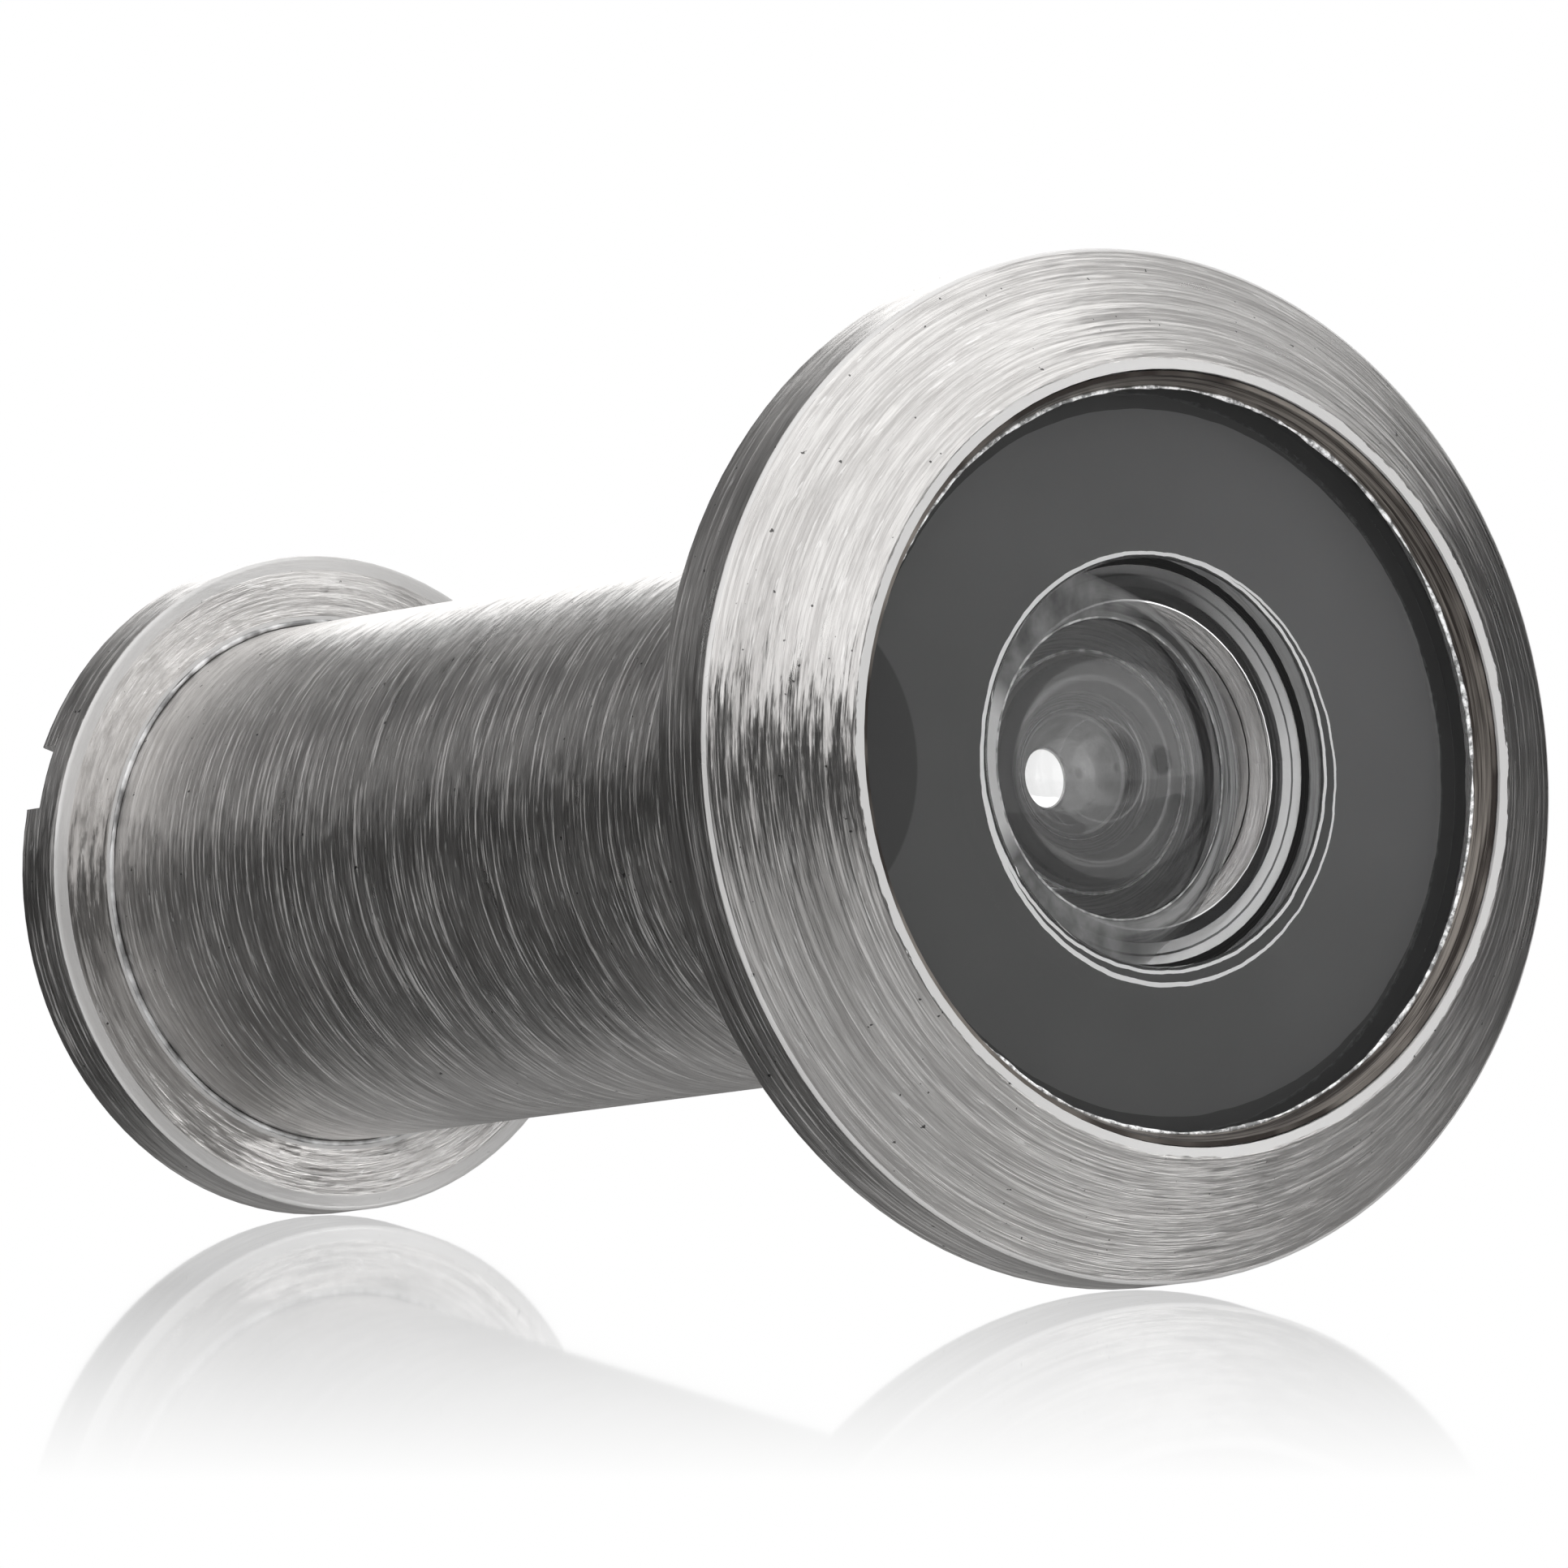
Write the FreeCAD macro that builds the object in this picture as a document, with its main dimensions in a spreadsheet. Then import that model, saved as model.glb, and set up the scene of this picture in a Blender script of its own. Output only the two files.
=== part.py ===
"""Door viewer (peephole) for a 14 mm hole, closed on a 35 mm door.

The viewer's axis is the Y axis: the street is at -Y and the room at +Y. The origin is the middle of
the face of the head that lies on the outside of the door. All sizes are millimetres.

Front unit: head and barrel in one turned piece, a flat objective glass with a boss and a deep hollow
behind, and a cell with two smaller lenses. Rear unit: a threaded tube with a flange, a coin slot and
the eyepiece. It screws into the open end of the barrel, and the barrel's end sits in a shallow recess
of the flange.
"""
import FreeCAD, Part
import os
import re
import Sketcher

SIZES = {
    # head and barrel
    "barrel_radius": 7.0,
    "barrel_length": 35.4,
    "barrel_edge": 0.1,
    "head_radius": 13.35,
    "rim_height": 2.0,
    "bevel_height": 2.4,
    "head_edge": 0.12,
    "lip_width": 0.3,
    "pocket_radius": 10.0,
    "pocket_depth": 2.3,
    "cell_bore": 5.9,
    "cell_seat": 8.0,
    "shoulder_radius": 4.8,
    "shoulder_width": 0.8,
    "relief_radius": 6.45,
    # right-hand screw thread between the two units
    "pitch": 1.0,
    "thread_depth": 0.55,
    "thread_crest": 0.125,
    "flank_slope": 0.577,
    "thread_clearance": 0.1,
    "thread_overrun": 0.05,
    "thread_lead": 0.6,
    "tube_radius": 6.3,
    "nut_length": 8.0,
    "turns_to_nut": 18,
    # objective glass and what holds it
    "seat_gap": 0.04,
    "glass_recess": 0.7,
    "glass_thickness": 2.3,
    "glass_flange": 1.1,
    "hollow_radius": 5.15,
    "hollow_curve": 8.0,
    "ring_height": 0.6,
    "ring_foot": 0.36,
    "ring_top": 0.12,
    "seal_size": 0.14,
    # cell with the two small lenses
    "cell_wall": 0.56,
    "cell_lip_height": 1.5,
    "cell_lip_radius": 4.4,
    "glass_edge": 0.1,
    "second_thickness": 3.45,
    "second_hollow": 4.1,
    "second_curve": 4.4,
    "third_thickness": 1.4,
    "third_clear": 4.3,
    "third_curve": 12.5,
    "spacer_height": 2.6,
    "spacer_wall": 0.6,
    "front_spacer_wall": 0.86,
    "front_spacer_edge": 0.11,
    "mask_gap": 0.03,
    # rear unit
    "tube_length": 26.3,
    "tube_bore": 5.0,
    "tube_relief": 1.2,
    "seat_radius": 7.15,
    "seat_depth": 0.2,
    "seat_entry": 0.1,
    "flange_radius": 8.9,
    "flange_height": 1.7,
    "flange_edge": 0.12,
    "slot_width": 1.8,
    "slot_depth": 0.7,
    "slot_overrun": 1.0,
    "slot_angle": 21.0,
    "notch_width": 1.0,
    "notch_depth": 0.5,
    # eyepiece
    "eye_hole": 4.7,
    "eye_lip": 0.5,
    "eye_cone": 0.3,
    "eye_gap": 0.05,
    "eye_radius": 4.9,
    "eye_clear": 4.5,
    "eye_thickness": 1.4,
    "eye_curve": 18.0,
    "eye_ring_height": 1.2,
    "eye_ring_wall": 0.4,
    "gasket_height": 0.3,
    "gasket_wall": 0.3,
}

# Places along the axis, and radii that follow from the sizes.
LIP = "(-rim_height - bevel_height)"
POCKET_FLOOR = "(-rim_height - bevel_height + pocket_depth)"
GLASS_FRONT = "(-rim_height - bevel_height + glass_recess)"
GLASS_RADIUS = "(pocket_radius - seat_gap)"
RING_FOOT = "(pocket_radius - seat_gap - ring_foot)"
CELL_RADIUS = "(cell_bore - seat_gap)"
CELL_INSIDE = "(cell_bore - seat_gap - cell_wall)"
LENS_RADIUS = "(cell_bore - 2 * seat_gap - cell_wall)"
THIRD_FRONT = "(cell_seat - cell_lip_height - third_thickness)"
SPACER_FRONT = "(cell_seat - cell_lip_height - third_thickness - spacer_height)"
SECOND_FRONT = "(cell_seat - cell_lip_height - third_thickness - spacer_height - second_thickness)"
GLASS_REAR = "(-rim_height - bevel_height + glass_recess + glass_thickness)"
FLANGE_FRONT = "(barrel_length - seat_entry)"
TUBE_INSIDE = "(tube_bore - seat_gap)"
NUT_RADIUS = "(tube_radius - thread_depth + thread_clearance)"
ROOT_RADIUS = "(tube_radius - thread_depth)"
GASKET_FRONT = "(flange_height - eye_lip - gasket_height)"
EYE_FRONT = "(flange_height - eye_lip - gasket_height - eye_gap - eye_thickness)"

doc = FreeCAD.newDocument("DoorViewer")
sheet = doc.addObject("Spreadsheet::Sheet", "Sizes")
for row, (alias, number) in enumerate(SIZES.items(), start=1):
    sheet.set(f"A{row}", alias)
    sheet.set(f"B{row}", str(number))
    sheet.setAlias(f"B{row}", alias)
doc.recompute()


def bound(formula):
    """The formula as an expression over the sheet. Only the names of functions stay as they are."""
    return re.sub(r"\b([a-z_]{3,})\b(?!\()", r"Sizes.\1", formula)


def size(formula):
    """The present value of the formula."""
    return float(sheet.evalExpression(bound(formula)))


# ---------------------------------------------------------------- sketches

def new_sketch(body, name, role):
    plane = next(item for item in body.Origin.OriginFeatures if item.Role == role)
    sketch = body.newObject("Sketcher::SketchObject", name)
    sketch.AttachmentSupport = [(plane, "")]
    sketch.MapMode = "FlatFace"
    return sketch


def drive(sketch, name, formula, *constraint):
    """Add a dimension and bind it to its formula."""
    number = sketch.addConstraint(Sketcher.Constraint(*constraint, size(formula)))
    sketch.renameConstraint(number, name)
    sketch.setExpression("Constraints." + name, bound(formula))


def closed_outline(sketch, corners):
    """Straight edges from corner to corner, every corner held by its two formulas."""
    points = [FreeCAD.Vector(size(across), size(along), 0) for across, along in corners]
    count = len(corners)
    for index, point in enumerate(points):
        sketch.addGeometry(Part.LineSegment(point, points[(index + 1) % count]), False)
    for index, (across, along) in enumerate(corners):
        sketch.addConstraint(Sketcher.Constraint("Coincident", (index - 1) % count, 2, index, 1))
        place_corner(sketch, index, "across", across, "DistanceX", -2)
        place_corner(sketch, index, "along", along, "DistanceY", -1)


def place_corner(sketch, index, word, formula, kind, axis):
    """Hold the corner at its distance from the axis that has this number, or on that axis."""
    if formula == "0":
        sketch.addConstraint(Sketcher.Constraint("PointOnObject", index, 1, axis))
    else:
        drive(sketch, f"{word}{index}", formula, kind, -1, 1, index, 1)


# ---------------------------------------------------------------- features

def turned_body(label, front, outline):
    """A new body turned round the Y axis. Its own zero stands at the place called front.

    The outline is the half section on the side of +X: (radius, place along the axis) at each corner.
    """
    body = doc.addObject("PartDesign::Body", label)
    body.Label = label
    body.setExpression("Placement.Base.y", bound(front))
    sketch = new_sketch(body, label + "_section", "XY_Plane")
    closed_outline(sketch, outline)
    turn = body.newObject("PartDesign::Revolution", label + "_turn")
    turn.Profile = sketch
    turn.ReferenceAxis = (sketch, ["V_Axis"])
    turn.Angle = 360
    doc.recompute()
    return body


def round_edges(body, radius, places):
    """Round the circular edges of one radius at the given places along the axis."""
    base = body.Tip
    names = []
    for number, edge in enumerate(body.Shape.Edges, start=1):
        middle = edge.CenterOfMass.y - body.Placement.Base.y
        ring = abs(edge.BoundBox.XLength - 2 * size(radius)) < 1e-4
        if ring and any(abs(middle - size(place)) < 1e-4 for place in places):
            names.append(f"Edge{number}")
    if len(names) != len(places):
        raise RuntimeError(f"{body.Label}: {len(names)} edges found to round, not {len(places)}")
    fillet = body.newObject("PartDesign::Fillet", body.Label + "_rounding")
    fillet.Base = (base, names)
    return fillet


def checked_cut(body, feature):
    """Recompute, and stop if the feature took nothing away."""
    before = body.Shape.Volume
    body.Tip = feature
    doc.recompute()
    if body.Shape.Volume > before - 1e-3:
        raise RuntimeError(f"{feature.Label} cuts nothing")


def grind_hollow(body, name, rim_radius, rim_place, curve):
    """Grind a spherical hollow into the rear face. Its rim has the given radius and place along the axis."""
    sphere = body.newObject("PartDesign::SubtractiveSphere", name)
    reach = f"sqrt({curve} ^ 2 - {rim_radius} ^ 2)"
    sphere.setExpression("Placement.Base.y", bound(f"{rim_place} + {reach}"))
    sphere.setExpression("Radius", bound(curve))
    checked_cut(body, sphere)


def cut_thread(body, name, corners, start, length):
    """Cut a right-hand groove whose section at +X stands at start and climbs along +Y."""
    sketch = new_sketch(body, name + "_section", "XY_Plane")
    sketch.AttachmentOffset = FreeCAD.Placement(FreeCAD.Vector(0, size(start), 0), FreeCAD.Rotation())
    sketch.setExpression("AttachmentOffset.Base.y", bound(start))
    closed_outline(sketch, corners)
    groove = body.newObject("PartDesign::SubtractiveHelix", name)
    groove.Profile = sketch
    groove.ReferenceAxis = (sketch, ["V_Axis"])
    groove.Mode = "pitch-height-angle"
    groove.setExpression("Pitch", bound("pitch"))
    groove.setExpression("Height", bound(length))
    groove.LeftHanded = False
    checked_cut(body, groove)


def thread_section(inner, outer, half_inner, half_outer):
    """The four corners of a groove's section: two radii, and half the width at each."""
    return [(inner, f"-{half_inner}"), (outer, f"-{half_outer}"), (outer, half_outer), (inner, half_inner)]


def cut_slot(body, name, width, reach, floor, depth, turned_by, toward_street=False):
    """Mill a straight slot across the whole face, from the place called floor outwards."""
    sketch = new_sketch(body, name + "_section", "XZ_Plane")
    sketch.setExpression("AttachmentOffset.Base.z", bound(f"-({floor})"))
    sketch.setExpression("AttachmentOffset.Rotation.Angle", bound(turned_by))
    across, along = size(reach), 0.5 * size(width)
    signs = [(-1, -1), (1, -1), (1, 1), (-1, 1)]
    points = [FreeCAD.Vector(sx * across, sy * along, 0) for sx, sy in signs]
    for index in range(4):
        sketch.addGeometry(Part.LineSegment(points[index], points[(index + 1) % 4]), False)
        sketch.addConstraint(Sketcher.Constraint("Horizontal" if index % 2 == 0 else "Vertical", index))
    for index in range(4):
        sketch.addConstraint(Sketcher.Constraint("Coincident", (index - 1) % 4, 2, index, 1))
    sketch.addConstraint(Sketcher.Constraint("Symmetric", 0, 1, 1, 2, -1, 1))
    drive(sketch, "length", f"2 * {reach}", "DistanceX", 0, 1, 0, 2)
    drive(sketch, "width", width, "DistanceY", 1, 1, 1, 2)
    slot = body.newObject("PartDesign::Pocket", name)
    slot.Profile = sketch
    slot.setExpression("Length", bound(depth))
    slot.Reversed = toward_street
    checked_cut(body, slot)


def standing_cylinder(name, front, radius, height):
    """Cylinder along +Y from the place called front."""
    cylinder = doc.addObject("Part::Cylinder", name)
    cylinder.Placement.Rotation = FreeCAD.Rotation(FreeCAD.Vector(1, 0, 0), -90)
    cylinder.setExpression("Placement.Base.y", bound(front))
    cylinder.setExpression("Radius", bound(radius))
    cylinder.setExpression("Height", bound(height))
    return cylinder


def ball(name, middle, radius):
    """Ball about a place on the axis, with its own poles on the Y axis."""
    sphere = doc.addObject("Part::Sphere", name)
    sphere.Placement.Rotation = FreeCAD.Rotation(FreeCAD.Vector(1, 0, 0), -90)
    sphere.setExpression("Placement.Base.y", bound(middle))
    sphere.setExpression("Radius", bound(radius))
    return sphere


# ---------------------------------------------------------------- front unit

def front_housing():
    """Head and barrel in one piece, with the glass pocket, the cell bore and the inside thread."""
    nut_start = "(barrel_length - nut_length)"
    body = turned_body("front_housing", "0", [
        ("pocket_radius", LIP),
        ("pocket_radius + lip_width", LIP),
        ("head_radius", "-rim_height"),
        ("head_radius", "0"),
        ("barrel_radius", "0"),
        ("barrel_radius", "barrel_length - barrel_edge"),
        ("barrel_radius - barrel_edge", "barrel_length"),
        (f"{NUT_RADIUS} + thread_lead", "barrel_length"),
        (NUT_RADIUS, "barrel_length - thread_lead"),
        (NUT_RADIUS, nut_start),
        ("relief_radius", nut_start),
        ("relief_radius", "cell_seat + shoulder_width"),
        ("shoulder_radius", "cell_seat + shoulder_width"),
        ("shoulder_radius", "cell_seat"),
        ("cell_bore", "cell_seat"),
        ("cell_bore", POCKET_FLOOR),
        ("pocket_radius", POCKET_FLOOR),
    ])
    rounding = round_edges(body, "head_radius", ["-rim_height", "0"])
    rounding.setExpression("Radius", bound("head_edge"))
    doc.recompute()
    half_crest = "(0.5 * thread_crest)"
    half_mouth = "(0.5 * thread_crest + (thread_depth + thread_overrun) * flank_slope)"
    corners = thread_section(f"{NUT_RADIUS} - thread_overrun", "tube_radius + thread_clearance",
                             half_mouth, half_crest)
    start = f"({FLANGE_FRONT} - tube_length + (turns_to_nut - 0.5) * pitch)"
    cut_thread(body, "inside_thread", corners, start, "nut_length + 2 * pitch")
    return body


def seated_ring(label, front, outer, inner, height):
    """A plain turned ring."""
    return turned_body(label, front, [(inner, "0"), (outer, "0"), (outer, height), (inner, height)])


def glass_retaining_ring():
    """Ring pressed in over the glass. Its bore widens towards the street."""
    top = f"{GLASS_RADIUS} - ring_top"
    front = f"{GLASS_FRONT} - ring_height"
    return turned_body("glass_retaining_ring", front, [
        (top, "0"),
        (GLASS_RADIUS, "0"),
        (GLASS_RADIUS, "ring_height"),
        (RING_FOOT, "ring_height"),
    ])


def objective_seal():
    """Bead in the corner between the retaining ring and the glass."""
    return turned_body("objective_seal", GLASS_FRONT, [
        (RING_FOOT, "-seal_size"),
        (RING_FOOT, "0"),
        (f"{RING_FOOT} - seal_size", "0"),
    ])


def objective_lens():
    """Flat glass whose flange fills the pocket. The boss behind it has a deep hollow."""
    body = turned_body("objective_lens", GLASS_FRONT, [
        ("0", "0"),
        (f"{GLASS_RADIUS} - glass_edge", "0"),
        (GLASS_RADIUS, "glass_edge"),
        (GLASS_RADIUS, "glass_flange"),
        (LENS_RADIUS, "glass_flange"),
        (LENS_RADIUS, "glass_thickness"),
        ("0", "glass_thickness"),
    ])
    grind_hollow(body, "objective_hollow", "hollow_radius", "glass_thickness", "hollow_curve")
    return body


def front_spacer():
    """Ring between the boss and the second lens. Its bore opens towards the street like a funnel."""
    height = f"({SECOND_FRONT} - {GLASS_REAR})"
    return turned_body("front_spacer", GLASS_REAR, [
        (f"{LENS_RADIUS} - front_spacer_edge", "0"),
        (LENS_RADIUS, "0"),
        (LENS_RADIUS, height),
        (f"{LENS_RADIUS} - front_spacer_wall", height),
    ])


def lens_cell():
    """Tube round the boss and the two small lenses. A lip at its far end stops the stack."""
    length = f"(cell_seat - {POCKET_FLOOR})"
    return turned_body("lens_cell", POCKET_FLOOR, [
        (CELL_INSIDE, "0"),
        (CELL_RADIUS, "0"),
        (CELL_RADIUS, length),
        ("cell_lip_radius", length),
        ("cell_lip_radius", f"{length} - cell_lip_height"),
        (CELL_INSIDE, f"{length} - cell_lip_height"),
    ])


def second_lens():
    """Flat in front, with a deep hollow behind."""
    body = turned_body("second_lens", SECOND_FRONT, [
        ("0", "0"),
        (f"{LENS_RADIUS} - glass_edge", "0"),
        (LENS_RADIUS, "glass_edge"),
        (LENS_RADIUS, "second_thickness"),
        ("0", "second_thickness"),
    ])
    grind_hollow(body, "second_hollow", "second_hollow", "second_thickness", "second_curve")
    return body


def bulging_lens(label, front, radius, thickness, clear, curve, both_sides):
    """Disc whose middle bulges behind, or on both sides, inside a narrow flat rim."""
    reach = f"sqrt({curve} ^ 2 - {clear} ^ 2)"
    bulge = f"({curve} - {reach})"
    start = f"{front} - {bulge}" if both_sides else front
    height = f"{thickness} + 2 * {bulge}" if both_sides else f"{thickness} + {bulge}"
    rim = standing_cylinder(label + "_rim", front, radius, thickness)
    core = standing_cylinder(label + "_core", start, clear, height)
    balls = [ball(label + "_rear_curve", f"{front} + {thickness} - {reach}", curve)]
    if both_sides:
        balls.append(ball(label + "_front_curve", f"{front} + {reach}", curve))
    middle = doc.addObject("Part::MultiCommon", label + "_middle")
    middle.Shapes = [core, *balls]
    lens = doc.addObject("Part::Fuse", label)
    lens.Base = rim
    lens.Tool = middle
    lens.Label = label
    doc.recompute()
    return lens


# ---------------------------------------------------------------- rear unit

def rear_housing():
    """Threaded tube and flange in one piece. Its zero is the flange face that meets the door."""
    body = turned_body("rear_housing", FLANGE_FRONT, [
        ("tube_bore", "-tube_length"),
        (ROOT_RADIUS, "-tube_length"),
        ("tube_radius", "-tube_length + thread_depth"),
        ("tube_radius", "-tube_relief"),
        (f"{ROOT_RADIUS} - thread_clearance", "-tube_relief"),
        (f"{ROOT_RADIUS} - thread_clearance", "seat_depth"),
        ("seat_radius", "seat_depth"),
        ("seat_radius", "0"),
        ("flange_radius", "0"),
        ("flange_radius", "flange_height"),
        ("eye_hole + eye_cone", "flange_height"),
        ("eye_hole", "flange_height - eye_cone"),
        ("eye_hole", "flange_height - eye_lip"),
        ("tube_bore", "flange_height - eye_lip"),
    ])
    rounding = round_edges(body, "flange_radius", ["0", "flange_height"])
    rounding.setExpression("Radius", bound("flange_edge"))
    doc.recompute()
    cut_slot(body, "coin_slot", "slot_width", "(flange_radius + slot_overrun)",
             "flange_height - slot_depth", "slot_depth + slot_overrun", "-slot_angle")
    half_root = "(0.5 * (pitch - thread_crest) - thread_depth * flank_slope)"
    half_mouth = "(0.5 * (pitch - thread_crest) + thread_overrun * flank_slope)"
    corners = thread_section(ROOT_RADIUS, "tube_radius + thread_overrun", half_root, half_mouth)
    cut_thread(body, "outside_thread", corners, "(-tube_length - pitch)",
               "tube_length + pitch - 0.5 * tube_relief")
    return body


def eyepiece_gasket():
    """Soft black washer between the eyepiece lens and the lip of the flange."""
    return seated_ring("eyepiece_gasket", f"{FLANGE_FRONT} + {GASKET_FRONT}", TUBE_INSIDE,
                       f"{TUBE_INSIDE} - gasket_wall", "gasket_height")


def eyepiece_ring():
    """Ring that holds the eyepiece lens in the tube, notched for a pin spanner."""
    body = seated_ring("eyepiece_ring", f"{FLANGE_FRONT} + {EYE_FRONT} - eye_gap - eye_ring_height",
                       TUBE_INSIDE, f"{TUBE_INSIDE} - eye_ring_wall", "eye_ring_height")
    cut_slot(body, "eye_ring_notches", "notch_width", "(tube_bore + slot_overrun)", "notch_depth",
             "notch_depth + slot_overrun", "0", toward_street=True)
    return body


BODIES = [
    front_housing(),
    glass_retaining_ring(),
    objective_seal(),
    objective_lens(),
    seated_ring("objective_mask", f"{GLASS_FRONT} + glass_flange + mask_gap", GLASS_RADIUS, CELL_INSIDE,
                "pocket_depth - glass_recess - glass_flange - mask_gap"),
    lens_cell(),
    front_spacer(),
    second_lens(),
    seated_ring("rear_spacer", SPACER_FRONT, LENS_RADIUS, f"{LENS_RADIUS} - spacer_wall", "spacer_height"),
    bulging_lens("third_lens", THIRD_FRONT, LENS_RADIUS, "third_thickness", "third_clear",
                 "third_curve", False),
    rear_housing(),
    eyepiece_ring(),
    bulging_lens("eyepiece_lens", f"{FLANGE_FRONT} + {EYE_FRONT}", "eye_radius", "eye_thickness",
                 "eye_clear", "eye_curve", True),
    eyepiece_gasket(),
]
doc.recompute()

for item in doc.Objects:
    if "Invalid" in item.State or "Error" in item.State:
        raise RuntimeError(f"{item.Name} failed: {item.State}")

os.makedirs("parts", exist_ok=True)
for body in BODIES:
    if body.Shape.isNull() or not body.Shape.isValid() or len(body.Shape.Solids) != 1:
        raise RuntimeError(f"{body.Label} is not one sound solid")
    body.Shape.exportStep(f"parts/{body.Label}.step")
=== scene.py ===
"""Looks of the door viewer: materials, fine pieces, floor, soft studio light and camera."""
import math

import bpy
from mathutils import Matrix, Vector, noise


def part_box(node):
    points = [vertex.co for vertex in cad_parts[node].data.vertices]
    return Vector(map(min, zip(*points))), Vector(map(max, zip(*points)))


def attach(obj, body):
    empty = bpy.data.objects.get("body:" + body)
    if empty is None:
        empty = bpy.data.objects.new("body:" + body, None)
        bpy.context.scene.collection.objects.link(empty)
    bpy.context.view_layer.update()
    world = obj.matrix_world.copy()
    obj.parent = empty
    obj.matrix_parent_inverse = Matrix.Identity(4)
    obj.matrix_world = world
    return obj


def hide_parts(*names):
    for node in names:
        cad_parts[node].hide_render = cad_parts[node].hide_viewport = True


MM = 0.001

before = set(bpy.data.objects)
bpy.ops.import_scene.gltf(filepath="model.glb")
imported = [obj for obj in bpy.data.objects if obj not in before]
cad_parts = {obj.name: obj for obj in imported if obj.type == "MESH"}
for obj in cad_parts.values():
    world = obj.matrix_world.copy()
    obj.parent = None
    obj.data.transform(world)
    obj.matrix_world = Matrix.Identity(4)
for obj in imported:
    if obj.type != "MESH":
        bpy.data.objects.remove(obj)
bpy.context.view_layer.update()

# ---------------------------------------------------------------- measures read from the frame

FRONT_LOW, FRONT_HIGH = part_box("front_housing")
REAR_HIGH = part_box("rear_housing")[1]
HEAD_RADIUS = FRONT_HIGH.x
LIP_PLACE = FRONT_LOW.y
FLANGE_RADIUS = REAR_HIGH.x
REAR_END = REAR_HIGH.y
GLASS_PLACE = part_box("objective_lens")[0].y
MASK_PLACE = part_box("objective_mask")[0].y

# The viewer lies on the back edge of its head and on its rear flange, so the floor leans to its axis.
LEAN = math.atan((HEAD_RADIUS - FLANGE_RADIUS) / REAR_END)
FLOOR_UP = Vector((0, -math.sin(LEAN), math.cos(LEAN)))
FLOOR_FRONT = Vector((0, -math.cos(LEAN), -math.sin(LEAN)))
FLOOR_RIGHT = Vector((1, 0, 0))
FLOOR_POINT = -FLOOR_UP * (HEAD_RADIUS * math.cos(LEAN))

LIP_DEPTH = 0.1 * MM        # the polished lip, with its painted highlight, is this deep
RING_BACK = 1.6 * MM        # the painted highlight ring lies further than this in front of the flange's back

# ---------------------------------------------------------------- sizes of the looks, in mm

HEAD_EDGE = -2.02           # place of the edge between rim and bevel
FLANGE_EDGE = 35.32         # place of the front edge of the rear flange
EDGE_FROM_RADIUS = 8.5      # edges outside this get a painted highlight
LINE_HALF = 0.05            # half the width of a painted highlight line
LIP_RADIUS = 10.25          # outside of the polished lip's painted highlight
SEAT_RING_RADIUS = 7.2      # painted highlight ring round the end of the barrel
FRONT_BORE_RADIUS = 6.6     # painted shade inside this
REAR_BORE_RADIUS = 5.1
MASK_GAP_SHADE_FROM = 9.1       # painted shade of the gap round the paint: black outside this
MASK_HOLE = 5.33            # the mask is black inside this
INNER_LINE_RADIUS = 5.40    # painted highlight: bright line round the mask's hole
INNER_LINE_HALF = 0.045
OUTER_LINE_RADIUS = 5.56    # second painted highlight line, a little askew to the first
OUTER_LINE_ASIDE = (0.14, -0.17)
OUTER_LINE_HALF = 0.035
# Painted dark reflection on the mask, in mm: its middle and its radius.
DARK_REFLECTION_AT = (-11.9, 0.4)
DARK_REFLECTION_RADIUS = 4.45
CELL_MOUTH_TO = -1.40       # painted reflection on the cell in front of this place
CELL_GROOVE_AT = -1.72
CELL_GROOVE_HALF = 0.035

# ---------------------------------------------------------------- camera

CAMERA_TURN = math.radians(-34.83)
CAMERA_RISE = math.radians(2.47)
CAMERA_DISTANCE = 0.5647
CAMERA_LENS = 495.6
AIM_PLACE = 0.0112
AIM_SIDE = -0.00142
AIM_UP = 0.00064


def axes_to_matrix(right, up, back, place):
    matrix = Matrix((right, up, back)).transposed().to_4x4()
    matrix.translation = place
    return matrix


def toward(turn, rise):
    """Direction in the floor's own frame: turn 0 is off the front glass, rise is above the floor."""
    level = FLOOR_FRONT * math.cos(turn) + FLOOR_RIGHT * math.sin(turn)
    return (level * math.cos(rise) + FLOOR_UP * math.sin(rise)).normalized()


def add_camera():
    back = toward(CAMERA_TURN, CAMERA_RISE)
    right = FLOOR_UP.cross(back).normalized()
    up = back.cross(right)
    place = Vector((0, AIM_PLACE, 0)) + back * CAMERA_DISTANCE + right * AIM_SIDE + up * AIM_UP
    data = bpy.data.cameras.new("camera")
    data.lens = CAMERA_LENS
    data.sensor_width = 36
    data.clip_start = 0.01
    data.clip_end = 20
    camera = bpy.data.objects.new("camera", data)
    camera.matrix_world = axes_to_matrix(right, up, back, place)
    bpy.context.scene.collection.objects.link(camera)
    bpy.context.scene.camera = camera


# ---------------------------------------------------------------- node helpers

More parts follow.
